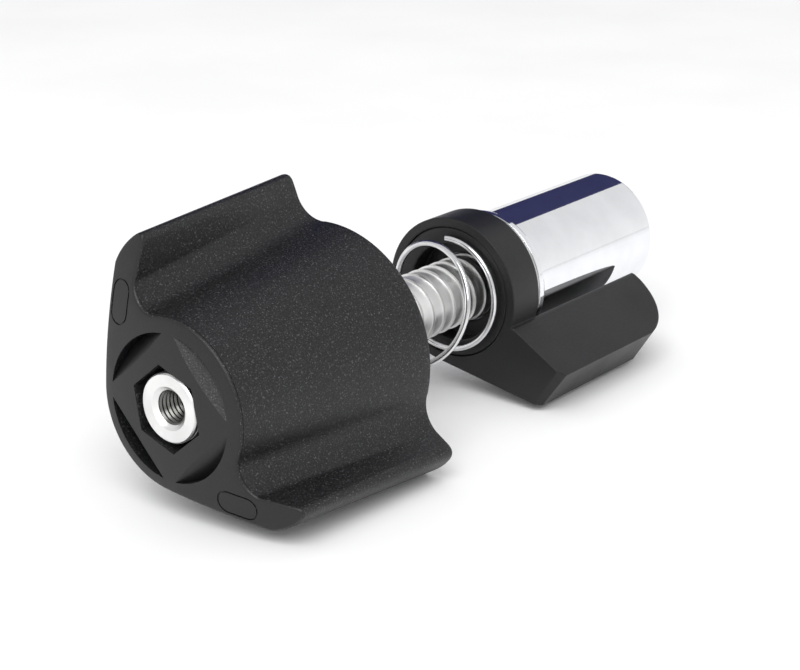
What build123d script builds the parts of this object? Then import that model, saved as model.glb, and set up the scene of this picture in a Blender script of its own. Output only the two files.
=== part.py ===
from build123d import *
import os
from math import cos, radians, sin, sqrt

# Spring-loaded clamp screw: a two-winged knob turns a hollow trapezoidal spindle in a chrome sleeve.
# Millimetres. The spindle's axis is the X axis, and the whole thing lies on its side with +Z up.
# The origin is on the axis, in the sleeve's front shoulder. The knob is at -X, the sleeve at +X.
os.makedirs("parts", exist_ok=True)

# --- driving dimensions ---
THREAD_R = 6.0          # crest radius of the trapezoidal thread, which advances 3 per turn
RUNNING = 0.05          # radial clearance of turning and sliding fits
FACE_GAP = 0.05         # clearance between faces that turn against each other
KNOB_FRONT = -83.6      # top of the front face's dome
SPINDLE_FRONT = -82.8   # the spindle's ring-shaped end lies just inside the dome
KNOB_REAR = -44.2
COLLAR_FRONT = -11.0
COLLAR_REAR = -3.3
COLLAR_R = 13.5
SLEEVE_R = 11.4
SLEEVE_BORE_R = 9.5
SLEEVE_LENGTH = 38.6
SPINDLE_REAR = 12.0
SPRING_R = 10.0         # mean coil radius
WIRE_R = 0.55

# --- knob: two wings on a barrel that widens to the rear ---
BISECTOR = 140.2        # direction halfway between the wings, from +Y towards +Z
WING_ANGLE = 46.5       # each wing's lean from that direction
DOME_R = 89.0           # radius of the domed front face
HEX_FLATS = 12.3        # across the flats of the hexagonal hub pocket
SHANK_FLATS = 12.2      # hexagonal drive shank of the spindle
SPRING_WELL_R = 13.0
SPRING_WELL_FLOOR = -58.0
SHANK_REAR = -61.0
FLANGE_R = 9.5
SCOOP_ANGLES = (47, 137, 227, 317)
SCOOP_INNER = 8.7       # straight inner edge of a scoop, from the axis
SCOOP_OUTER = 11.9      # radius of its upright outer wall
SCOOP_DEPTH = 3.1
GROOVE_REACH = 2.05     # from the plane of the dome's tip to the bottom of the witness grooves
CORES = 3               # moulding cores behind the grip, between the wings
CORE_SPAN = 26
CORE_SPACING = 31
CORE_INNER = 14.8
CORE_FRONT = -60.0


def wing_point(side, u, n):
    """A point u along a wing and n towards its outer face; side is 1 for the lower wing."""
    a = radians(BISECTOR + side * WING_ANGLE)
    return (u * cos(a) - side * n * sin(a), u * sin(a) + side * n * cos(a))


def polar(r, degrees):
    """A point at radius r and an angle from +Y towards +Z."""
    return (r * cos(radians(degrees)), r * sin(radians(degrees)))


def knob_outline(barrel_r, outer, tip, end, corner, shoulder, root, heel):
    """
    Draws the knob's closed outline. Each wing runs from its root up the inner face to the tip of its crest,
    over the rounded end, and down its outer face, which lies at n = outer. Points are (u, n) pairs.
    """
    ThreePointArc(wing_point(-1, 0, outer), polar(outer, BISECTOR + 180), wing_point(1, 0, outer))
    heel_n = sqrt(barrel_r ** 2 - heel ** 2)
    for side in (1, -1):
        Line(wing_point(side, 0, outer), wing_point(side, *corner))
        ThreePointArc(wing_point(side, *corner), wing_point(side, *end), wing_point(side, *tip))
        Line(wing_point(side, *tip), wing_point(side, *shoulder))
        ThreePointArc(
            wing_point(side, *shoulder), wing_point(side, *root), wing_point(side, heel_n, heel)
        )
    ThreePointArc(wing_point(1, heel_n, heel), polar(barrel_r, BISECTOR), wing_point(-1, heel_n, heel))


# a scoop of the front face, above the axis: its floor slopes down to an upright, curved outer wall
with BuildPart() as scoop:
    with BuildSketch(Plane.XZ):
        with BuildLine():
            Polyline(
                (KNOB_FRONT - 1, SCOOP_INNER),
                (KNOB_FRONT + 0.35, SCOOP_INNER),
                (KNOB_FRONT + SCOOP_DEPTH, SCOOP_OUTER),
                (KNOB_FRONT - 1, SCOOP_OUTER),
                close=True,
            )
        make_face()
    extrude(amount=SCOOP_OUTER, both=True)
    with BuildSketch(Plane.YZ.offset(KNOB_FRONT - 1)):
        Circle(SCOOP_OUTER)
    extrude(amount=SCOOP_DEPTH + 1, mode=Mode.INTERSECT)

with BuildPart() as knob_body:
    with BuildSketch(Plane.YZ.offset(KNOB_FRONT)):
        with BuildLine():
            knob_outline(14.2, 13.8, (25.2, 8.3), (23.9, 10.6), (19.2, 13.8), (17.1, 8.8), (14.8, 7.4), 3.8)
        make_face()
    with BuildSketch(Plane.YZ.offset(KNOB_REAR)):
        with BuildLine():
            knob_outline(20.6, 16.2, (27.0, 10.0), (25.3, 12.9), (20.6, 16.2), (22.9, 7.9), (21.2, 6.2), 2.0)
        make_face()
    loft(ruled=True)
    # the front face is a shallow dome
    with BuildSketch(Plane.XZ):
        with BuildLine():
            Line((KNOB_FRONT - 1, 0), (KNOB_FRONT, 0))
            dome = CenterArc((KNOB_FRONT + DOME_R, 0), DOME_R, 180, -20)
            Line(dome @ 1, (KNOB_FRONT - 1, (dome @ 1).Y))
            Line((KNOB_FRONT - 1, (dome @ 1).Y), (KNOB_FRONT - 1, 0))
        make_face()
    revolve(axis=Axis.X, mode=Mode.SUBTRACT)
    # hexagonal pocket round the spindle's end, and the drive bore behind it
    with BuildSketch(Plane.YZ.offset(KNOB_FRONT)):
        RegularPolygon(HEX_FLATS / 2, 6, major_radius=False, rotation=20)
    extrude(amount=SHANK_REAR - KNOB_FRONT, mode=Mode.SUBTRACT)
    # room for the spindle's flange, and the spring well open to the rear
    with BuildSketch(Plane.YZ.offset(SHANK_REAR)):
        Circle(FLANGE_R + RUNNING)
    extrude(amount=SPRING_WELL_FLOOR - SHANK_REAR, mode=Mode.SUBTRACT)
    with BuildSketch(Plane.YZ.offset(SPRING_WELL_FLOOR)):
        Circle(SPRING_WELL_R)
    extrude(amount=KNOB_REAR - SPRING_WELL_FLOOR, mode=Mode.SUBTRACT)
    # four scoops round the hub
    for angle in SCOOP_ANGLES:
        add(scoop.part.rotate(Axis.X, angle - 90), mode=Mode.SUBTRACT)
    # oval witness grooves at the wing roots
    for side in (1, -1):
        u, n = wing_point(side, 13.9, 11.3)
        with BuildSketch(Plane.YZ.offset(KNOB_FRONT)):
            with Locations(Location((u, n, 0), (0, 0, BISECTOR + side * WING_ANGLE))):
                SlotOverall(7.2, 3.8)
                SlotOverall(6.7, 3.3, mode=Mode.SUBTRACT)
        extrude(amount=GROOVE_REACH, mode=Mode.SUBTRACT)
    # moulding cores open to the rear: three behind the grip, and one in each wing
    for step in range(CORES):
        start = radians(BISECTOR + (step - (CORES - 1) / 2) * CORE_SPACING - CORE_SPAN / 2)
        with BuildSketch(Plane((0, 0, 0), x_dir=(1, 0, 0), z_dir=(0, -sin(start), cos(start)))):
            with BuildLine():
                Polyline(
                    (KNOB_REAR + 1, CORE_INNER),
                    (KNOB_REAR + 1, CORE_INNER + 3.6),
                    (CORE_FRONT, CORE_INNER + 1.0),
                    (CORE_FRONT, CORE_INNER),
                    close=True,
                )
            make_face()
        revolve(axis=Axis.X, revolution_arc=CORE_SPAN, mode=Mode.SUBTRACT)
    for side in (1, -1):
        u, n = wing_point(side, 18.0, 12.4)
        with BuildSketch(Plane.YZ.offset(CORE_FRONT)):
            with Locations(Location((u, n, 0), (0, 0, BISECTOR + side * WING_ANGLE))):
                SlotOverall(7.6, 2.6)
        extrude(amount=KNOB_REAR - CORE_FRONT, mode=Mode.SUBTRACT)
knob_body.part.label = "knob_body"
export_step(knob_body.part, "parts/knob_body.step")

# --- spindle: fine-threaded end, hexagonal drive shank, flange, and the long trapezoidal thread ---
FINE_THREAD_R = 5.65
SHANK_FRONT = -74.2
TAPPED_R = 2.75
TAPPED_DEPTH = 22.0
COUNTERSINK_R = 3.5
CLIP_GROOVE = 8.6       # front wall of the stop clip's groove
CLIP_THICK = 1.1
CLIP_SEAT_R = 5.0

with BuildPart() as spindle:
    with BuildSketch(Plane.YZ.offset(SPINDLE_FRONT)):
        Circle(FINE_THREAD_R)
    extrude(amount=SHANK_FRONT - SPINDLE_FRONT)
    chamfer(spindle.faces().sort_by(Axis.X)[0].edges(), 0.2)
    with BuildSketch(Plane.YZ.offset(SHANK_FRONT)):
        RegularPolygon(SHANK_FLATS / 2, 6, major_radius=False, rotation=20)
    extrude(amount=SHANK_REAR - SHANK_FRONT)
    with BuildSketch(Plane.YZ.offset(SHANK_REAR)):
        Circle(FLANGE_R)
    extrude(amount=SPRING_WELL_FLOOR - SHANK_REAR)
    with BuildSketch(Plane.YZ.offset(SPRING_WELL_FLOOR)):
        Circle(THREAD_R)
    extrude(amount=SPINDLE_REAR - SPRING_WELL_FLOOR)
    chamfer(spindle.faces().sort_by(Axis.X)[-1].edges(), 0.8)
    with BuildSketch(Plane.YZ.offset(CLIP_GROOVE)):
        Circle(THREAD_R + 1)
        Circle(CLIP_SEAT_R, mode=Mode.SUBTRACT)
    extrude(amount=CLIP_THICK, mode=Mode.SUBTRACT)
    # the tapped bore in the front end, with its countersink
    with BuildSketch(Plane.YZ.offset(SPINDLE_FRONT)):
        Circle(TAPPED_R)
    extrude(amount=TAPPED_DEPTH, mode=Mode.SUBTRACT)
    with BuildSketch(Plane.XZ):
        with BuildLine():
            Polyline(
                (SPINDLE_FRONT, 0),
                (SPINDLE_FRONT, COUNTERSINK_R),
                (SPINDLE_FRONT + COUNTERSINK_R - TAPPED_R, TAPPED_R),
                (SPINDLE_FRONT + COUNTERSINK_R - TAPPED_R, 0),
                close=True,
            )
        make_face()
    revolve(axis=Axis.X, mode=Mode.SUBTRACT)
spindle.part.label = "spindle"
export_step(spindle.part, "parts/spindle.step")


def ring(name, front, rear, inner_r, outer_r):
    """A plain washer or bush about the spindle's axis."""
    with BuildPart() as piece:
        with BuildSketch(Plane.YZ.offset(front)):
            Circle(outer_r)
            Circle(inner_r, mode=Mode.SUBTRACT)
        extrude(amount=rear - front)
    piece.part.label = name
    export_step(piece.part, f"parts/{name}.step")
    return piece


def snap_ring(name, front, thick, inner_r, outer_r, gap):
    """An open retaining ring: gap is the width of its mouth, at the top."""
    with BuildPart() as piece:
        with BuildSketch(Plane.YZ.offset(front)):
            Circle(outer_r)
            Circle(inner_r, mode=Mode.SUBTRACT)
            with Locations((0, outer_r)):
                Rectangle(gap, 2 * (outer_r - inner_r) + 1, mode=Mode.SUBTRACT)
        extrude(amount=thick)
    piece.part.label = name
    export_step(piece.part, f"parts/{name}.step")
    return piece


# the clip that stops the spindle from being wound right out of its nut
snap_ring("stop_clip", CLIP_GROOVE, CLIP_THICK, CLIP_SEAT_R, 8.2, 3.0)

# --- spring group: the front washer slides with the knob and doesn't turn ---
THRUST_THICK = 1.0
thrust_front = SPRING_WELL_FLOOR + FACE_GAP
thrust_rear = thrust_front + THRUST_THICK
ring("thrust_washer", thrust_front, thrust_rear, THREAD_R + 0.3, SPRING_WELL_R - 0.3)

# the spring's rear end bears on the rim of a black cup, which also hides the neck behind it
CUP_LIP = 0.65
CUP_RIM_R = 11.7
SEAT_POCKET_R = 11.9
SEAT_POCKET_DEPTH = 0.8
CUP_WALL = 0.9
CUP_FLOOR = -6.3        # rear face of the cup
CUP_R = 9.75            # outside of the cup's wall
CUP_HOLE_R = 6.35       # clear of the thread
seat_rear = COLLAR_FRONT + SEAT_POCKET_DEPTH
with BuildPart() as spring_seat:
    with BuildSketch(Plane.XZ):
        with BuildLine():
            Polyline(
                (seat_rear - CUP_LIP, CUP_R - CUP_WALL),
                (seat_rear - CUP_LIP, CUP_RIM_R),
                (seat_rear, CUP_RIM_R),
                (seat_rear, CUP_R),
                (CUP_FLOOR, CUP_R),
                (CUP_FLOOR, CUP_HOLE_R),
                (CUP_FLOOR - CUP_WALL, CUP_HOLE_R),
                (CUP_FLOOR - CUP_WALL, CUP_R - CUP_WALL),
                close=True,
            )
        make_face()
    revolve(axis=Axis.X)
spring_seat.part.label = "spring_seat"
export_step(spring_seat.part, "parts/spring_seat.step")

SPRING_TURNS = 4
spring_front = thrust_rear + WIRE_R + FACE_GAP
spring_rear = seat_rear - CUP_LIP - WIRE_R - FACE_GAP
spring_height = spring_rear - spring_front
with BuildPart() as spring:
    with BuildLine() as coil:
        Helix(
            spring_height / SPRING_TURNS,
            spring_height,
            SPRING_R,
            center=(spring_front, 0, 0),
            direction=(1, 0, 0),
            lefthand=True,
        )
    with BuildSketch(Plane(coil.line @ 0, z_dir=coil.line % 0)):
        Circle(WIRE_R)
    sweep(is_frenet=True)
spring.part.label = "spring"
export_step(spring.part, "parts/spring.step")

# --- lock collar: a ring with an arm on one side, and a blade that runs back beside the sleeve ---
COLLAR_BORE_R = 9.9
BLADE_REAR = 29.4
BLADE_CLEAR_R = 13.4    # inside of the blade, clear of the sleeve and its rings
BLADE_DIRECTION = 213.0
BLADE_REACH = 25.75     # from the axis to the blade's outer face
ARM_INNER = (-13.36, -4.14)
ARM_TOP = (-24.0, -10.65)
ARM_BOTTOM = (-19.3, -17.3)
ARM_TANGENT = polar(COLLAR_R, 281.3)
BLADE_HEEL = polar(17.57, 240)

with BuildPart() as lock_collar:
    with BuildSketch(Plane.YZ.offset(COLLAR_FRONT)):
        Circle(COLLAR_R)
        with BuildLine():
            Polyline((0, -1), ARM_INNER, ARM_TOP, ARM_BOTTOM, ARM_TANGENT, close=True)
        make_face()
    extrude(amount=COLLAR_REAR - COLLAR_FRONT)
    with BuildSketch(Plane.YZ.offset(COLLAR_REAR)):
        with BuildLine():
            Polyline((0, -1), ARM_INNER, ARM_TOP, ARM_BOTTOM, BLADE_HEEL, close=True)
        make_face()
        Circle(BLADE_CLEAR_R, mode=Mode.SUBTRACT)
    extrude(amount=BLADE_REAR - COLLAR_REAR)
    # the blade's rear corner is one large round, and its front corner has a narrow bevel
    outward = radians(BLADE_DIRECTION)
    blade_plane = Plane((0, 0, 0), x_dir=(1, 0, 0), z_dir=(0, -sin(outward), cos(outward)))
    with BuildSketch(blade_plane):
        with BuildLine():
            ThreePointArc((BLADE_REAR, 15.0), (26.0, 22.1), (18.0, BLADE_REACH + 0.3))
            Line((18.0, BLADE_REACH + 0.3), (BLADE_REAR + 1, BLADE_REACH + 0.3))
            Line((BLADE_REAR + 1, BLADE_REACH + 0.3), (BLADE_REAR + 1, 15.0))
            Line((BLADE_REAR + 1, 15.0), (BLADE_REAR, 15.0))
        make_face()
        with BuildLine():
            Polyline(
                (COLLAR_FRONT - 1, BLADE_REACH - 0.2),
                (COLLAR_FRONT - 1, BLADE_REACH + 1),
                (COLLAR_FRONT + 1.2, BLADE_REACH + 1),
                (COLLAR_FRONT + 1.2, BLADE_REACH + 0.3),
                (COLLAR_FRONT, BLADE_REACH - 1.2),
                (COLLAR_FRONT - 1, BLADE_REACH - 1.2),
                close=True,
            )
        make_face()
    extrude(amount=20, both=True, mode=Mode.SUBTRACT)
    # bore, and the shallow pocket for the spring seat
    with BuildSketch(Plane.YZ.offset(COLLAR_FRONT)):
        Circle(COLLAR_BORE_R)
    extrude(amount=COLLAR_REAR - COLLAR_FRONT, mode=Mode.SUBTRACT)
    with BuildSketch(Plane.YZ.offset(COLLAR_FRONT)):
        Circle(SEAT_POCKET_R)
    extrude(amount=SEAT_POCKET_DEPTH, mode=Mode.SUBTRACT)
lock_collar.part.label = "lock_collar"
export_step(lock_collar.part, "parts/lock_collar.step")

# --- neck nut: the collar turns on its neck, and its body is pressed into the sleeve ---
NECK_R = 8.5
NECK_FRONT = CUP_FLOOR + FACE_GAP
NUT_REAR = CLIP_GROOVE - FACE_GAP
CIRCLIP_FRONT = -5.6
CIRCLIP_THICK = 0.8
CIRCLIP_SEAT_R = 8.0
PIN_X = 4.3
PIN_R = 1.0
PIN_BOTTOM_R = 7.2

with BuildPart() as neck_nut:
    with BuildSketch(Plane.YZ.offset(NECK_FRONT)):
        Circle(NECK_R)
    extrude(amount=-NECK_FRONT)
    chamfer(neck_nut.faces().sort_by(Axis.X)[0].edges(), 0.5)
    with BuildSketch(Plane.YZ):
        Circle(SLEEVE_BORE_R)
    extrude(amount=NUT_REAR)
    with BuildSketch(Plane.YZ.offset(CIRCLIP_FRONT)):
        Circle(NECK_R + 1)
        Circle(CIRCLIP_SEAT_R, mode=Mode.SUBTRACT)
    extrude(amount=CIRCLIP_THICK, mode=Mode.SUBTRACT)
    with BuildSketch(Plane.YZ.offset(NECK_FRONT)):
        Circle(THREAD_R + RUNNING)
    extrude(amount=NUT_REAR - NECK_FRONT, mode=Mode.SUBTRACT)
    with BuildSketch(Plane.XZ.offset(-SLEEVE_R)):
        with Locations((PIN_X, 0)):
            Circle(PIN_R)
    extrude(amount=SLEEVE_R - PIN_BOTTOM_R, mode=Mode.SUBTRACT)
neck_nut.part.label = "neck_nut"
export_step(neck_nut.part, "parts/neck_nut.step")

snap_ring("collar_circlip", CIRCLIP_FRONT, CIRCLIP_THICK, CIRCLIP_SEAT_R, 9.6, 4.0)
ring("collar_bush", CIRCLIP_FRONT + CIRCLIP_THICK + FACE_GAP, COLLAR_REAR, NECK_R + RUNNING, COLLAR_BORE_R)

# --- rings between the collar and the sleeve's shoulder, stepping down to the sleeve ---
RING_BORE_R = NECK_R
ring("collar_shim", COLLAR_REAR + FACE_GAP, -2.2, RING_BORE_R, 12.9)
ring("friction_washer", -2.2, -1.3, RING_BORE_R, 12.2)
ring("sleeve_shim", -1.3, 0, RING_BORE_R, 12.5)

# --- sleeve, its cross pin, and the hardened cup pressed into its rear end ---
CUP_SEAT_R = 9.9
CUP_FRONT = 33.4
CUP_REAR = 38.2
CUP_MOUTH_R = 7.5
CUP_MOUTH_DEPTH = 2.2

with BuildPart() as sleeve:
    with BuildSketch(Plane.YZ):
        Circle(SLEEVE_R)
        Circle(SLEEVE_BORE_R, mode=Mode.SUBTRACT)
    extrude(amount=SLEEVE_LENGTH)
    with BuildSketch(Plane.YZ.offset(CUP_FRONT)):
        Circle(CUP_SEAT_R)
    extrude(amount=SLEEVE_LENGTH - CUP_FRONT, mode=Mode.SUBTRACT)
    chamfer(sleeve.faces().sort_by(Axis.X)[-1].edges(), 0.4)
    with BuildSketch(Plane.XZ.offset(-SLEEVE_R - 1)):
        with Locations((PIN_X, 0)):
            Circle(PIN_R)
    extrude(amount=SLEEVE_R, mode=Mode.SUBTRACT)
sleeve.part.label = "sleeve"
export_step(sleeve.part, "parts/sleeve.step")

with BuildPart() as nut_pin:
    with BuildSketch(Plane.XZ.offset(-SLEEVE_R + 0.2)):
        with Locations((PIN_X, 0)):
            Circle(PIN_R)
            Circle(PIN_R / 2, mode=Mode.SUBTRACT)
    extrude(amount=SLEEVE_R - 0.2 - PIN_BOTTOM_R)
nut_pin.part.label = "nut_pin"
export_step(nut_pin.part, "parts/nut_pin.step")

with BuildPart() as end_cup:
    with BuildSketch(Plane.XZ):
        with BuildLine():
            Polyline(
                (CUP_FRONT, 3.2),
                (CUP_FRONT, CUP_SEAT_R),
                (CUP_REAR, CUP_SEAT_R),
                (CUP_REAR, CUP_MOUTH_R),
                (CUP_REAR - CUP_MOUTH_DEPTH, CUP_MOUTH_R),
                (CUP_FRONT + 1, 3.2),
                close=True,
            )
        make_face()
    revolve(axis=Axis.X)
end_cup.part.label = "end_cup"
export_step(end_cup.part, "parts/end_cup.step")
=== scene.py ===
# %% [markdown]
# # A spring-loaded clamp knob
#
# A two-winged knob of black plastic turns a hollow zinc-plated spindle. The spindle is screwed into a
# chrome sleeve, a wire spring keeps the knob from rattling loose, and a black lock collar with a blade
# turns on the sleeve's neck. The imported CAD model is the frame: it says where everything is and what
# moves. This script gives it its rounded edges, its threads, its surfaces, a table, light and a camera.

# %% Load the frame
from math import acos, atan2, cos, degrees, hypot, pi, radians, sin, sqrt

import bmesh
import bpy
from mathutils import Matrix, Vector
from mathutils.geometry import delaunay_2d_cdt


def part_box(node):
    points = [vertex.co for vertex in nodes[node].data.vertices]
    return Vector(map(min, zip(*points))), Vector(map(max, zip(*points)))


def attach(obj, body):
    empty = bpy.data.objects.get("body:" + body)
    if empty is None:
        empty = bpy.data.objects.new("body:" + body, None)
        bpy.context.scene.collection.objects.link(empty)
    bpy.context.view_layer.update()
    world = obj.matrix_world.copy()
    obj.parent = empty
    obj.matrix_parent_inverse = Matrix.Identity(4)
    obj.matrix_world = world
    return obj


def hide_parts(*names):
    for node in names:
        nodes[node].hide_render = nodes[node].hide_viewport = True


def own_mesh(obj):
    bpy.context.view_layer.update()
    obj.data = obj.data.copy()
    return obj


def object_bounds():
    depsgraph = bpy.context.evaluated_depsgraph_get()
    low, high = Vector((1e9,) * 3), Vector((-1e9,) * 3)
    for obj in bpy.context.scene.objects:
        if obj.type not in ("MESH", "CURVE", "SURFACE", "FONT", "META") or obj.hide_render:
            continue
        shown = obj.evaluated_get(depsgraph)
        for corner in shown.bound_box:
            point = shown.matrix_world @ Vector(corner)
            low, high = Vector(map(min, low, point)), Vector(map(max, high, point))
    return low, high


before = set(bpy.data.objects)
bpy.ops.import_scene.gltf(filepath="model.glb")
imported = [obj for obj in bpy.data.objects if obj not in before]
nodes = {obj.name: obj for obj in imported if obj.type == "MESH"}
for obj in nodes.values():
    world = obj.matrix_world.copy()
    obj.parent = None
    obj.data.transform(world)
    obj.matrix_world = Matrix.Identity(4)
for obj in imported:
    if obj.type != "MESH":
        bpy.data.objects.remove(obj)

cad_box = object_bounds()
MM = 0.001

# %% [markdown]
# ## Where things are
# The knob's and spindle's ends and the table's height are taken from the CAD nodes' boxes, so a change in the
# design moves them with it.
# The spindle's axis is the X axis: the knob is at the low end, and the sleeve at the high end.

# %% Measure the frame
def span(node):
    """A node's lowest and highest x, in millimetres."""
    low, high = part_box(node)
    return low[0] / MM, high[0] / MM


DOME_R = 89.0           # radius of the knob's domed front face
HEX_FLATS = 12.3        # across the flats of its hexagonal pocket
# the dome's highest point falls inside the pocket, so it is worked out from the pocket's rim
knob_front = span("knob_body")[0] - (DOME_R - sqrt(DOME_R ** 2 - (HEX_FLATS / 2) ** 2))
knob_rear = span("knob_body")[1]
spindle_front, spindle_rear = span("spindle")
table_z = cad_box[0][2]
print(f"knob {knob_front:.1f} to {knob_rear:.1f} mm, spindle ends at {spindle_rear:.1f} mm")

# %% [markdown]
# ## Mesh helpers
# Pieces are lists of points and faces in millimetres. A piece is smooth except where two faces meet
# at a clear angle, rides on one body, and may stand in for a CAD node that is too plain.

# %% Make a piece from points and faces
def make_mesh(name, points, faces):
    mesh = bpy.data.meshes.new(name)
    mesh.from_pydata([(x * MM, y * MM, z * MM) for x, y, z in points], [], faces)
    work = bmesh.new()
    work.from_mesh(mesh)
    bmesh.ops.remove_doubles(work, verts=work.verts, dist=0.002 * MM)
    bmesh.ops.recalc_face_normals(work, faces=work.faces)
    work.to_mesh(mesh)
    work.free()
    obj = bpy.data.objects.new(name, mesh)
    bpy.context.scene.collection.objects.link(obj)
    return obj


def smooth(mesh, degrees):
    mesh.shade_smooth()
    mesh.set_sharp_from_angle(angle=radians(degrees))


def bridge(rings, closed=True):
    """Points and quads of a surface through equally long rings of points."""
    count = len(rings[0])
    points = [p for ring in rings for p in ring]
    faces = []
    for r in range(len(rings) - 1):
        for i in range(count if closed else count - 1):
            j = (i + 1) % count
            faces.append((r * count + i, r * count + j, (r + 1) * count + j, (r + 1) * count + i))
    return points, faces


def lathe(profile, steps=72, start=0.0, sweep=360.0):
    """A solid of revolution about X. profile is a closed loop of (x, r); a part turn gets flat ends."""
    full = sweep >= 360.0
    turns = steps if full else steps + 1
    rings = []
    for k in range(turns):
        a = radians(start + sweep * k / steps)
        rings.append([(x, r * cos(a), r * sin(a)) for x, r in profile])
    if full:
        rings.append(rings[0])
    points, faces = bridge(rings)
    if not full:
        last = len(points) - len(profile)
        faces.append(tuple(range(len(profile))))
        faces.append(tuple(range(last, len(points))))
    return points, faces


def prism(outline, x0, x1):
    """A straight solid along X with a closed (y, z) outline."""
    count = len(outline)
    points = [(x0, y, z) for y, z in outline] + [(x1, y, z) for y, z in outline]
    faces = [tuple(range(count)), tuple(range(count, 2 * count))]
    for i in range(count):
        j = (i + 1) % count
        faces.append((i, j, count + j, count + i))
    return points, faces


def join(*solids):
    """Several lists of points and faces as one."""
    points, faces = [], []
    for p, f in solids:
        shift = len(points)
        points += p
        faces += [tuple(i + shift for i in face) for face in f]
    return points, faces


# %% [markdown]
# ## Finishes
# Each finish is a Principled shader with small-scale noise. The knob's grip has the sparkle of a mould
# that was spark-eroded, painted into its colour as pale glints; its front face was left smoother. The
# metal parts carry faint tool marks. A narrow bevel in the shading catches the light along the CAD nodes'
# edges.

# %% Shader helpers
class Finish:
    """A material with helpers for adding nodes and linking them."""

    def __init__(self, name, **sockets):
        self.material = bpy.data.materials.new(name)
        self.material.use_nodes = True
        self.tree = self.material.node_tree
        self.shader = self.tree.nodes["Principled BSDF"]
        for socket, value in sockets.items():
            self.shader.inputs[socket.replace("_", " ")].default_value = value
        self.place = self.tree.nodes.new("ShaderNodeTexCoord").outputs["Object"]

    def add(self, kind, inputs=None, **settings):
        node = self.tree.nodes.new(kind)
        for key, value in settings.items():
            setattr(node, key, value)
        for key, value in (inputs or {}).items():
            if isinstance(value, bpy.types.NodeSocket):
                self.tree.links.new(value, node.inputs[key])
            else:
                node.inputs[key].default_value = value
        return node

    def noise(self, grain_mm, detail=3.0, stretch=(1, 1, 1)):
        """Noise whose features are about grain_mm across, drawn out along axes with a small stretch."""
        scaled = self.add("ShaderNodeMapping", {"Vector": self.place, "Scale": stretch})
        node = self.add(
            "ShaderNodeTexNoise",
            {"Vector": scaled.outputs["Vector"], "Scale": 1000 / grain_mm, "Detail": detail},
        )
        return node.outputs["Fac"]

    def ramp(self, factor, low, high, start=0.35, end=0.65):
        """Turns noise into a number or a colour between low and high."""
        if isinstance(low, tuple):
            node = self.add("ShaderNodeValToRGB", {"Fac": factor})
            node.color_ramp.elements[0].position = start
            node.color_ramp.elements[1].position = end
            node.color_ramp.elements[0].color = (*low, 1)
            node.color_ramp.elements[1].color = (*high, 1)
            return node.outputs["Color"]
        node = self.add("ShaderNodeMapRange", {
            "Value": factor, "From Min": start, "From Max": end, "To Min": low, "To Max": high,
        })
        return node.outputs["Result"]

    def feed(self, socket, output):
        self.tree.links.new(output, self.shader.inputs[socket])

    def relief(self, height, depth_mm, strength=1.0, edge_mm=0.0):
        """Bump from a height, on top of a softened edge."""
        inputs = {"Height": height, "Distance": depth_mm * MM, "Strength": strength}
        if edge_mm:
            edge = self.add("ShaderNodeBevel", {"Radius": edge_mm * MM}, samples=6)
            inputs["Normal"] = edge.outputs["Normal"]
        self.feed("Normal", self.add("ShaderNodeBump", inputs).outputs["Normal"])


# %% Moulded plastics
def sparked_plastic(name, dark, light, grain_mm, depth_mm, rough, edge_mm=0.0, painted_glint_grey=0.0):
    """Black plastic from a spark-eroded mould: fine pits, and pale specks painted into its colour as glints of
    light on them.
    """
    finish = Finish(name, IOR=1.45)
    pits = finish.noise(grain_mm, detail=2.0)
    cloud = finish.noise(14.0, detail=4.0)
    colour = finish.ramp(pits, dark, light, 0.4, 0.72)
    # painted highlight: pale specks mixed into the base colour stand in for glints of light on the pits
    if painted_glint_grey:
        painted_glint_mask = finish.ramp(finish.noise(0.26, detail=1.0), 0.0, 1.0, 0.60, 0.74)
        mixed = finish.add(
            "ShaderNodeMix", {0: painted_glint_mask, 6: colour, 7: (painted_glint_grey, painted_glint_grey, painted_glint_grey * 1.05, 1)}, data_type="RGBA"
        )
        colour = mixed.outputs[2]
    finish.feed("Base Color", colour)
    finish.feed("Roughness", finish.ramp(cloud, rough - 0.05, rough + 0.05))
    finish.relief(pits, depth_mm, edge_mm=edge_mm)
    return finish.material


# the grip's pale specks are painted glints
grip_plastic = sparked_plastic(
    "knob_grip_sparked", (0.003, 0.003, 0.0035), (0.014, 0.014, 0.015), 0.34, 0.055, 0.42, painted_glint_grey=0.075
)
front_plastic = sparked_plastic(
    "knob_front_satin", (0.006, 0.0055, 0.006), (0.011, 0.0105, 0.011), 0.22, 0.010, 0.40
)
collar_plastic = sparked_plastic(
    "lock_collar_matt", (0.003, 0.003, 0.0035), (0.011, 0.011, 0.012), 0.25, 0.026, 0.44, edge_mm=0.5
)
print("plastics:", grip_plastic.name, front_plastic.name, collar_plastic.name)


# %% Metals and nylon
def worked_metal(name, dark, light, rough, grain_mm, stretch, depth_mm, edge_mm=0.0, metallic=1.0):
    """Metal with drawn-out marks, as a lathe, a wire die or a plating bath leaves them."""
    finish = Finish(name, Metallic=metallic)
    marks = finish.noise(grain_mm, detail=4.0, stretch=stretch)
    stains = finish.noise(6.0, detail=3.0)
    finish.feed("Base Color", finish.ramp(stains, dark, light))
    finish.feed("Roughness", finish.ramp(marks, rough * 0.7, rough * 1.3))
    finish.relief(marks, depth_mm, edge_mm=edge_mm)
    return finish.material


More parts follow.
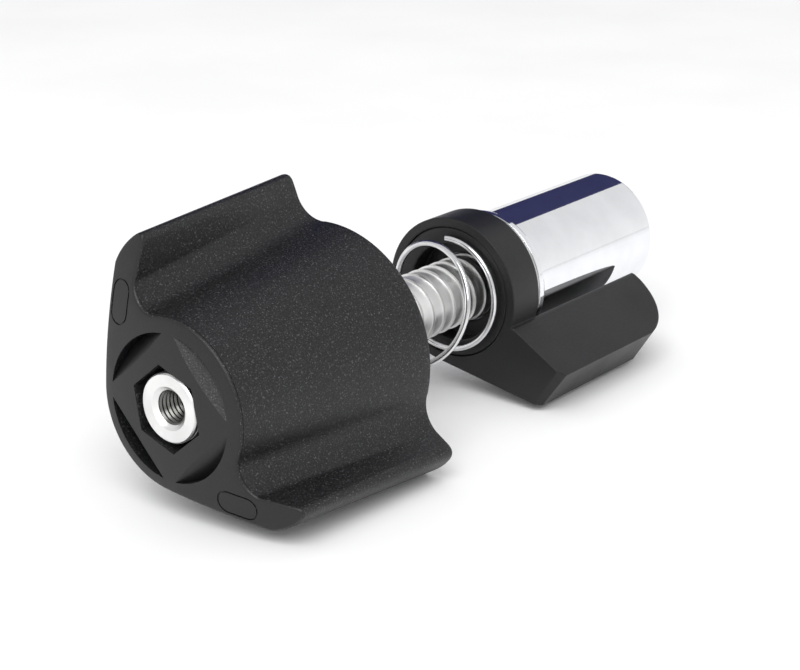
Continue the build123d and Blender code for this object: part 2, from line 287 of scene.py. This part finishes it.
ALONG = (0.05, 1, 1)    # marks drawn out along the axis
AROUND = (1, 0.06, 0.06)    # marks drawn out round the axis
zinc = worked_metal(
    "spindle_zinc", (0.78, 0.78, 0.77), (0.90, 0.90, 0.89), 0.40, 0.25, AROUND, 0.006
)
# painted shade: a dark copy of the zinc for the inside of the tapped hole, where the hole's shade falls
bore_painted_shade_zinc = worked_metal(
    "spindle_bore_painted_shade", (0.10, 0.10, 0.10), (0.18, 0.18, 0.17), 0.3, 0.25, AROUND, 0.006
)
wire = worked_metal(
    "spring_wire_bright", (0.62, 0.62, 0.63), (0.80, 0.80, 0.81), 0.14, 0.15, ALONG, 0.004
)
chrome = worked_metal(
    "sleeve_chrome", (0.86, 0.87, 0.89), (0.92, 0.93, 0.95), 0.045, 0.8, (1, 1, 1), 0.0006, 0.3
)
washer_steel = worked_metal(
    "washer_steel", (0.55, 0.55, 0.55), (0.68, 0.68, 0.68), 0.25, 0.3, AROUND, 0.006, 0.12
)
hardened = worked_metal(
    "end_cup_hardened", (0.16, 0.16, 0.18), (0.26, 0.26, 0.28), 0.30, 0.3, AROUND, 0.008, 0.2
)
nylon = worked_metal(
    "washer_nylon", (0.72, 0.70, 0.62), (0.82, 0.80, 0.72), 0.5, 0.6, (1, 1, 1), 0.01, 0.15, metallic=0.0
)

NODE_FINISHES = {
    "lock_collar": collar_plastic, "spring_seat": collar_plastic, "sleeve": chrome, "sleeve_shim": chrome,
    "end_cup": hardened, "neck_nut": hardened, "collar_bush": nylon, "nut_pin": washer_steel,
    "collar_circlip": washer_steel, "stop_clip": washer_steel, "thrust_washer": washer_steel,
    "collar_shim": washer_steel, "friction_washer": washer_steel,
}
for node, material in NODE_FINISHES.items():
    mesh = nodes[node].data
    mesh.materials.clear()
    mesh.materials.append(material)
print("finished nodes:", len(NODE_FINISHES))

# %% [markdown]
# ## The knob
# It is injection-moulded: a barrel that widens to the rear, with two wings for the thumb and finger.
# The front face is a shallow dome with a hexagonal pocket and four scoops; the rear is hollowed by the
# spring's well and by moulding cores, so that no wall is thick enough to sink. The form is swept from a
# front outline to a rear outline, with its edges rolled over, and the hollows are then cut out of it.

# %% The knob's outline
BISECTOR = 140.2        # direction halfway between the wings, from +Y towards +Z
WING_ANGLE = 46.5       # each wing's lean from that direction
TIP_ROLL = 1.8          # how far the crest's sharp inner edge is cut back into a curve


def wing_point(side, u, n):
    """A point u along a wing and n towards its outer face."""
    a = radians(BISECTOR + side * WING_ANGLE)
    return (u * cos(a) - side * n * sin(a), u * sin(a) + side * n * cos(a))


def between(a, b, share):
    return tuple(p + share * (q - p) for p, q in zip(a, b))


def line(a, b, count, start=0.0, end=1.0):
    return [between(a, b, start + (end - start) * k / count) for k in range(count)]


def arc(a, middle, b, count, start=0.0, end=1.0):
    """Points on the circular arc from a through middle to b, leaving out the last."""
    ax, ay = a
    bx, by = middle
    cx, cy = b
    d = 2 * (ax * (by - cy) + bx * (cy - ay) + cx * (ay - by))
    sa, sb, sc = ax * ax + ay * ay, bx * bx + by * by, cx * cx + cy * cy
    ox = (sa * (by - cy) + sb * (cy - ay) + sc * (ay - by)) / d
    oy = (sa * (cx - bx) + sb * (ax - cx) + sc * (bx - ax)) / d
    radius = hypot(ax - ox, ay - oy)
    first = atan2(ay - oy, ax - ox)
    to_middle = (atan2(by - oy, bx - ox) - first) % (2 * pi)
    to_last = (atan2(cy - oy, cx - ox) - first) % (2 * pi)
    if to_middle > to_last:
        to_last -= 2 * pi
    angles = [first + to_last * (start + (end - start) * k / count) for k in range(count)]
    return [(ox + radius * cos(t), oy + radius * sin(t)) for t in angles]


def half_outline(barrel_r, outer, tip, end, corner, shoulder, root, heel):
    """From the middle of the back, over one wing, to the middle of the grip, as (u, n) points."""
    foot = (sqrt(barrel_r ** 2 - heel ** 2), heel)
    back = [(outer * sin(t), outer * cos(t)) for t in (radians(-43.5 + 43.5 * k / 22) for k in range(22))]
    over = arc(corner, end, tip, 60)
    cut = next(k for k in range(59, 0, -1) if hypot(over[k][0] - tip[0], over[k][1] - tip[1]) > TIP_ROLL)
    share = TIP_ROLL / hypot(tip[0] - shoulder[0], tip[1] - shoulder[1])
    a, c = over[cut], between(tip, shoulder, share)
    roll = [between(between(a, tip, t), between(tip, c, t), t) for t in (k / 8 for k in range(8))]
    lead_in = arc(corner, end, tip, 16, 0.0, cut / 60)
    grip_angle = atan2(foot[1], foot[0])
    grip_end = -radians(WING_ANGLE)
    grip = [grip_angle + (grip_end - grip_angle) * k / 32 for k in range(33)]
    return (
        back + line((0, outer), corner, 20) + lead_in + roll + line(c, shoulder, 12)
        + arc(shoulder, root, foot, 12) + [(barrel_r * cos(t), barrel_r * sin(t)) for t in grip]
    )


def knob_outline(*shape):
    """The whole closed outline as (y, z) points, the two halves mirrored in the bisector."""
    half = half_outline(*shape)
    lower = [wing_point(1, u, n) for u, n in half]
    upper = [wing_point(-1, u, n) for u, n in half]
    return lower + upper[-2:0:-1]


front_outline = knob_outline(
    14.2, 13.8, (25.2, 8.3), (23.9, 10.6), (19.2, 13.8), (17.1, 8.8), (14.8, 7.4), 3.8
)
rear_outline = knob_outline(
    20.6, 16.2, (27.0, 10.0), (25.3, 12.9), (20.6, 16.2), (22.9, 7.9), (21.2, 6.2), 2.0
)
print("outline points:", len(front_outline), len(rear_outline))

# %% Sweep the outline and roll its edges over
FRONT_ROLL = 0.5
REAR_ROLL = 0.5


def dome_x(y, z):
    """The front face's x above a point."""
    return knob_front + DOME_R - sqrt(DOME_R ** 2 - y * y - z * z)


def inward(outline, distance):
    """The outline moved inwards by a distance."""
    count = len(outline)
    area = sum(outline[i - 1][0] * outline[i][1] - outline[i][0] * outline[i - 1][1] for i in range(count))
    turn = 1 if area > 0 else -1
    moved = []
    for i, (y, z) in enumerate(outline):
        before, after = outline[i - 1], outline[(i + 1) % count]
        dy, dz = after[0] - before[0], after[1] - before[1]
        length = hypot(dy, dz)
        moved.append((y - turn * distance * dz / length, z + turn * distance * dy / length))
    return moved


def outline_at(x):
    share = (x - knob_front) / (knob_rear - knob_front)
    return [between(a, b, share) for a, b in zip(front_outline, rear_outline)]


def cap(ring, height, spacing=1.6):
    """Triangles that fill a closed ring, with inner points on the surface x = height(y, z)."""
    flat = [(y, z) for _, y, z in ring]
    reach = max(hypot(y, z) for y, z in flat)
    steps = int(reach / spacing)
    inner = []
    for i in range(-steps, steps + 1):
        for j in range(-steps, steps + 1):
            y, z = (i + 0.5 * (j % 2)) * spacing, j * spacing
            if min(hypot(y - p, z - q) for p, q in flat) < 0.5 * spacing:
                continue
            crossings = 0
            for k in range(len(flat)):
                (y0, z0), (y1, z1) = flat[k - 1], flat[k]
                if (z0 > z) != (z1 > z) and y < y0 + (z - z0) * (y1 - y0) / (z1 - z0):
                    crossings += 1
            if crossings % 2:
                inner.append((y, z))
    points, _, faces, origin, _, _ = delaunay_2d_cdt(flat + inner, [], [list(range(len(flat)))], 1, 1e-6)
    placed = []
    for (y, z), source in zip(points, origin):
        on_rim = source and source[0] < len(flat)
        placed.append(ring[source[0]] if on_rim else (height(y, z), y, z))
    return placed, [tuple(face) for face in faces]


ROLL_STEPS = 5
WALL_STEPS = 34
front_edge = front_outline
for _ in range(3):
    depths = [(dome_x(y, z) - knob_front) / (knob_rear - knob_front) for y, z in front_edge]
    front_edge = [between(a, b, d) for a, b, d in zip(front_outline, rear_outline, depths)]
rings = []
for k in range(ROLL_STEPS, -1, -1):
    roll = radians(90 * k / ROLL_STEPS)
    moved = inward(front_edge, FRONT_ROLL * (1 - cos(roll)))
    rings.append([(dome_x(y, z) + FRONT_ROLL * (1 - sin(roll)), y, z) for y, z in moved])
wall_start = [x for x, _, _ in rings[-1]]
for k in range(WALL_STEPS + 1):
    ring = []
    for i, x0 in enumerate(wall_start):
        x = x0 + (knob_rear - REAR_ROLL - x0) * k / WALL_STEPS
        share = (x - knob_front) / (knob_rear - knob_front)
        ring.append((x, *between(front_outline[i], rear_outline[i], share)))
    rings.append(ring)
for k in range(ROLL_STEPS + 1):
    roll = radians(90 * k / ROLL_STEPS)
    x = knob_rear - REAR_ROLL * (1 - sin(roll))
    rings.append([(x, y, z) for y, z in inward(outline_at(x), REAR_ROLL * (1 - cos(roll)))])
knob_form = join(
    bridge(rings), cap(rings[0], dome_x), cap(rings[-1], lambda y, z: knob_rear, spacing=4.0)
)
knob = make_mesh("knob_moulding", *knob_form)
print("knob form:", len(knob.data.vertices), "points")
form = bmesh.new()
form.from_mesh(knob.data)
print("open edges:", sum(1 for e in form.edges if not e.is_manifold), "(a closed form cuts cleanly)")
form.free()

# %% Cut the hollows
SHANK_REAR = -61.0
WELL_FLOOR = -58.0
CORE_FRONT = -60.0
HEX_TURN = 20.0


def hexagon(across_flats, turn):
    corner = across_flats / 2 / cos(radians(30))
    return [(corner * cos(radians(60 * k + turn)), corner * sin(radians(60 * k + turn))) for k in range(6)]


def slot_outline(centre, angle, length, width, steps=10):
    """A round-ended slot about a centre, as (y, z) points."""
    half = (length - width) / 2
    points = []
    for end in (0, 1):
        for k in range(steps + 1):
            a = radians(-90 + 180 * k / steps + 180 * end)
            u = (half if end == 0 else -half) + width / 2 * cos(a)
            v = width / 2 * sin(a)
            c, s = cos(radians(angle)), sin(radians(angle))
            points.append((centre[0] + u * c - v * s, centre[1] + u * s + v * c))
    return points


SCOOP_ANGLES = (47, 137, 227, 317)
SCOOP_INNER = 8.7       # straight inner edge of a scoop, from the axis
SCOOP_OUTER = 11.9      # radius of its upright outer wall
SCOOP_DEPTH = 3.1
SCOOP_LIP = 0.35        # how far below the dome's top the floor starts


def scoop(direction, steps=24):
    """A slice of a disc whose floor slopes down to the curved wall."""
    half = acos(SCOOP_INNER / SCOOP_OUTER)
    centre = radians(direction)
    top, floor = [], []
    for k in range(steps + 1):
        a = -half + 2 * half * k / steps
        y, z = SCOOP_OUTER * cos(centre + a), SCOOP_OUTER * sin(centre + a)
        reach = (SCOOP_OUTER * cos(a) - SCOOP_INNER) / (SCOOP_OUTER - SCOOP_INNER)
        top.append((knob_front - 1, y, z))
        floor.append((knob_front + SCOOP_LIP + (SCOOP_DEPTH - SCOOP_LIP) * reach, y, z))
    count = len(top)
    faces = [tuple(range(count)), tuple(range(count, 2 * count))]
    for i in range(count):
        j = (i + 1) % count
        faces.append((i, j, count + j, count + i))
    return top + floor, faces


def groove(outer, inner, depth):
    """A wall between two equally long outlines, whose foot lies at an even depth in the domed face."""
    def level(outline):
        return [(knob_front - 1, y, z) for y, z in outline]

    def foot(outline):
        return [(dome_x(y, z) + depth, y, z) for y, z in outline]

    return bridge([level(outer), foot(outer), foot(inner), level(inner), level(outer)])


CORE = [(knob_rear + 1, 14.8), (knob_rear + 1, 18.4), (CORE_FRONT, 15.8), (CORE_FRONT, 14.8)]
cutters = [prism(hexagon(HEX_FLATS, HEX_TURN), knob_front - 1, SHANK_REAR)]
cutters += [scoop(a) for a in SCOOP_ANGLES]
cutters += [lathe(CORE, steps=10, start=BISECTOR + a - 13, sweep=26) for a in (-31, 0, 31)]
for side in (1, -1):
    lean = BISECTOR + side * WING_ANGLE
    wing_core = slot_outline(wing_point(side, 18.0, 12.4), lean, 7.6, 2.6)
    cutters.append(prism(wing_core, CORE_FRONT, knob_rear + 1))
    mark = wing_point(side, 13.9, 11.3)
    oval, inner_oval = slot_outline(mark, lean, 7.2, 3.8), slot_outline(mark, lean, 6.7, 3.3)
    cutters.append(groove(oval, inner_oval, 0.22))
well = lathe([
    (SHANK_REAR, 0.5), (SHANK_REAR, 9.55), (WELL_FLOOR, 9.55), (WELL_FLOOR, 13.0), (knob_rear + 1, 13.0),
    (knob_rear + 1, 0.5),
])


def cut(target, solid):
    """Takes a closed solid out of the target's mesh."""
    tool = make_mesh("cutter", *solid)
    change = target.modifiers.new("cut", "BOOLEAN")
    change.object = tool
    change.operation = "DIFFERENCE"
    change.solver = "EXACT"
    shaped = bpy.data.meshes.new_from_object(target.evaluated_get(bpy.context.evaluated_depsgraph_get()))
    target.modifiers.clear()
    target.data = shaped
    bpy.data.objects.remove(tool)


cut(knob, join(*cutters))
cut(knob, well)
knob.data.materials.clear()
knob.data.materials.append(grip_plastic)
knob.data.materials.append(front_plastic)
for face in knob.data.polygons:
    _, y, z = face.center / MM
    x = face.center[0] / MM
    around = abs(hypot(y, z) - 10.3) < 1.6 and abs(degrees(atan2(z, y)) - SCOOP_ANGLES[1]) < 44
    in_grip_scoop = around and x > dome_x(y, z) + 0.15
    on_front = x < knob_front + 6 and abs(face.normal[0]) > 0.7
    face.material_index = 1 if on_front and not in_grip_scoop else 0
smooth(knob.data, 32)
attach(knob, "knob")
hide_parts("knob_body")
print("knob:", len(knob.data.vertices), "points after cutting")

# %% [markdown]
# ## The spindle
# A steel bar, turned, threaded and zinc-plated. Its main thread is trapezoidal, 12 mm across with 3 mm
# of travel a turn: strong, quick, and unable to be pushed back by the load. The front end has a fine
# thread outside and a tapped hole inside. Each thread is a strip wound round the bar, one pitch wide.

# %% Wind a thread
def thread(start, end, pitch, root_r, crest_r, root_share, crest_share, steps=60):
    """A right-hand thread's surface about X. The shares of the pitch are flat; flanks take up the rest."""
    flank = (1 - root_share - crest_share) / 2
    profile = [
        (0.0, root_r), (root_share, root_r), (root_share + flank, crest_r),
        (root_share + flank + crest_share, crest_r), (1.0, root_r),
    ]
    turns = (end - start) / pitch + 1
    rings = []
    for k in range(int(turns * steps) + 1):
        a = 2 * pi * k / steps
        shift = start - pitch + pitch * k / steps
        ring = []
        for share, r in profile:
            x = shift + pitch * share
            inside = start <= x <= end
            x = min(max(x, start), end)
            r = r if inside else root_r
            ring.append((x, r * cos(a), r * sin(a)))
        rings.append(ring)
    return bridge(rings, closed=False)


# %% Turn the spindle
SHANK_FRONT = -74.2
FLANGE_R = 9.5
ROOT_R = 5.68
CREST_R = 6.0
bar = [
    (spindle_front + 0.7, 2.8), (spindle_front, 3.5), (spindle_front, 5.35), (spindle_front + 0.25, 5.6),
    (spindle_front + 0.7, 5.6), (spindle_front + 0.95, 5.25), (SHANK_FRONT, 5.25), (SHANK_FRONT, 5.6),
    (SHANK_REAR, 5.6), (SHANK_REAR, FLANGE_R), (WELL_FLOOR, FLANGE_R), (WELL_FLOOR, ROOT_R - 0.03),
    (8.6, ROOT_R - 0.03), (8.6, 5.0), (9.7, 5.0), (9.7, ROOT_R - 0.03), (spindle_rear - 0.5, ROOT_R - 0.03),
    (spindle_rear, ROOT_R - 0.5), (spindle_rear, 0.01), (spindle_front + 22, 0.01), (spindle_front + 22, 2.8),
]
spindle_form = join(
    lathe(bar, steps=96),
    prism(hexagon(12.2, HEX_TURN), SHANK_FRONT, SHANK_REAR),
    thread(WELL_FLOOR, 8.5, 3.0, ROOT_R, CREST_R, 0.87, 0.05),
    thread(spindle_front + 0.9, SHANK_FRONT, 1.0, 5.25, 5.62, 0.15, 0.12),
    thread(spindle_front + 0.8, spindle_front + 16, 0.8, 2.8, 2.55, 0.15, 0.15, steps=40),
)
spindle = make_mesh("spindle_turned", *spindle_form)
spindle.data.materials.append(zinc)
# faces inside the front bore take the dark copy, shade painted into the hole
spindle.data.materials.append(bore_painted_shade_zinc)
for face in spindle.data.polygons:
    x, y, z = face.center / MM
    face.material_index = 1 if x > spindle_front + 0.8 and x < spindle_front + 22.5 and hypot(y, z) < 2.9 else 0
smooth(spindle.data, 28)
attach(spindle, "knob")
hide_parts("spindle")
print("spindle:", len(spindle.data.vertices), "points")

# %% [markdown]
# ## The spring
# Cold-wound from bright wire. Its coils lie close together at both ends, where they bear on washers,
# and open in between. It shortens as the knob is screwed in; here it is wound at one length only.

# %% Wind the spring
COIL_R = 10.0
WIRE_R = 0.55
# x after each whole turn, from the collar to the knob
COIL_X = (-11.5, -15.8, -36.0, -47.6, -56.35)
COIL_START = 85.0       # direction of the wire's cut end, from +Y towards +Z


def coil_x(turn):
    """x of the wire after a number of turns, on a smooth curve through COIL_X."""
    k = min(int(turn), len(COIL_X) - 2)
    t = turn - k
    slopes = []
    for j in (k, k + 1):
        before = COIL_X[max(j - 1, 0)]
        after = COIL_X[min(j + 1, len(COIL_X) - 1)]
        slopes.append((after - before) / 2)
    a, b = COIL_X[k], COIL_X[k + 1]
    blend_in = t * t * (3 - 2 * t)
    return a + (b - a) * blend_in + slopes[0] * t * (1 - t) ** 2 - slopes[1] * t * t * (1 - t)


TURNS = len(COIL_X) - 1
PER_TURN = 72
rings = []
for k in range(TURNS * PER_TURN + 1):
    a = radians(COIL_START) + 2 * pi * k / PER_TURN
    x = coil_x(k / PER_TURN)
    ring = []
    for j in range(12):
        b = 2 * pi * j / 12
        r = COIL_R + WIRE_R * cos(b)
        ring.append((x + WIRE_R * sin(b), r * cos(a), r * sin(a)))
    rings.append(ring)
points, faces = bridge(rings)
faces.append(tuple(range(12)))
faces.append(tuple(range(len(points) - 12, len(points))))
spring = make_mesh("spring_wound", points, faces)
spring.data.materials.append(wire)
smooth(spring.data, 40)
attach(spring, "sleeve")
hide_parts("spring")
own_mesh(spring)
print("spring:", TURNS, "turns")

# %% [markdown]
# ## Table, light and camera
# A pale table under a bright, even sky, as in a light tent, with one soft lamp above. A dark blue cloth
# beyond the object is only seen as the streak that it leaves in the chrome.

# %% Table
bpy.ops.mesh.primitive_plane_add(size=6.0, location=(0, 0, table_z))
table = bpy.context.object
table.name = "table_top"
paper = Finish("table_paper", Roughness=0.9)
paper.feed("Base Color", paper.ramp(paper.noise(60.0), (0.93, 0.93, 0.93), (0.96, 0.96, 0.96)))
table.data.materials.append(paper.material)

# %% Light
world = bpy.data.worlds.new("light_tent")
bpy.context.scene.world = world
world.use_nodes = True
sky = world.node_tree
direction = sky.nodes.new("ShaderNodeTexCoord").outputs["Generated"]
height = sky.nodes.new("ShaderNodeSeparateXYZ")
sky.links.new(direction, height.inputs[0])
shade = sky.nodes.new("ShaderNodeValToRGB")
shade.color_ramp.elements[0].position = 0.0
shade.color_ramp.elements[0].color = (0.95, 0.95, 0.95, 1)
shade.color_ramp.elements[1].position = 0.9
shade.color_ramp.elements[1].color = (0.70, 0.70, 0.71, 1)
sky.links.new(height.outputs["Z"], shade.inputs["Fac"])
sky.links.new(shade.outputs["Color"], sky.nodes["Background"].inputs["Color"])
sky.nodes["Background"].inputs["Strength"].default_value = 1.0


def softbox(name, place, target, size, power):
    """A square lamp at a place, facing a target, both in metres."""
    data = bpy.data.lights.new(name, "AREA")
    data.shape = "RECTANGLE"
    data.size, data.size_y = size
    data.energy = power
    lamp = bpy.data.objects.new(name, data)
    bpy.context.scene.collection.objects.link(lamp)
    lamp.location = place
    direction = Matrix.Translation(target).translation - lamp.location
    lamp.rotation_euler = direction.to_track_quat("-Z", "Y").to_euler()
    return lamp


softbox("lamp_front", (-0.75, -0.45, 0.95), (-0.03, 0, 0), (0.9, 0.9), 11.0)


def cloth(name, corners, colour):
    """A dark cloth out of the camera's view: it shows only in the chrome."""
    piece = make_mesh(name, [tuple(c / MM for c in corner) for corner in corners], [(0, 1, 2, 3)])
    weave = Finish(name + "_weave", Roughness=0.95)
    weave.feed("Base Color", weave.ramp(weave.noise(3.0), tuple(0.8 * c for c in colour), colour))
    piece.data.materials.append(weave.material)
    return piece


dark_cloth = cloth(
    "dark_cloth",
    ((0.99, 0.157, 0.09), (-0.09, 0.99, 0.09), (-0.06, 0.67, 0.74), (0.664, 0.105, 0.74)),
    (0.02, 0.022, 0.09),
)
dark_cloth.visible_camera = False
dark_cloth.visible_diffuse = False

# %% Camera
camera_data = bpy.data.cameras.new("camera")
camera_data.lens = 89.325
camera_data.sensor_width = 36.0
camera = bpy.data.objects.new("camera", camera_data)
bpy.context.scene.collection.objects.link(camera)
right, up, forward = (0.6124, -0.7906, 0.0), (0.2611, 0.2023, 0.9438), (0.7461, 0.5780, -0.3303)
camera.matrix_world = Matrix((
    (right[0], up[0], -forward[0], -0.28156),
    (right[1], up[1], -forward[1], -0.19808),
    (right[2], up[2], -forward[2], 0.10922),
    (0, 0, 0, 1),
))
camera_data.clip_start = 0.01
bpy.context.scene.camera = camera
bpy.context.scene.view_settings.view_transform = "Standard"

# %% Update the view layer
bpy.context.view_layer.update()
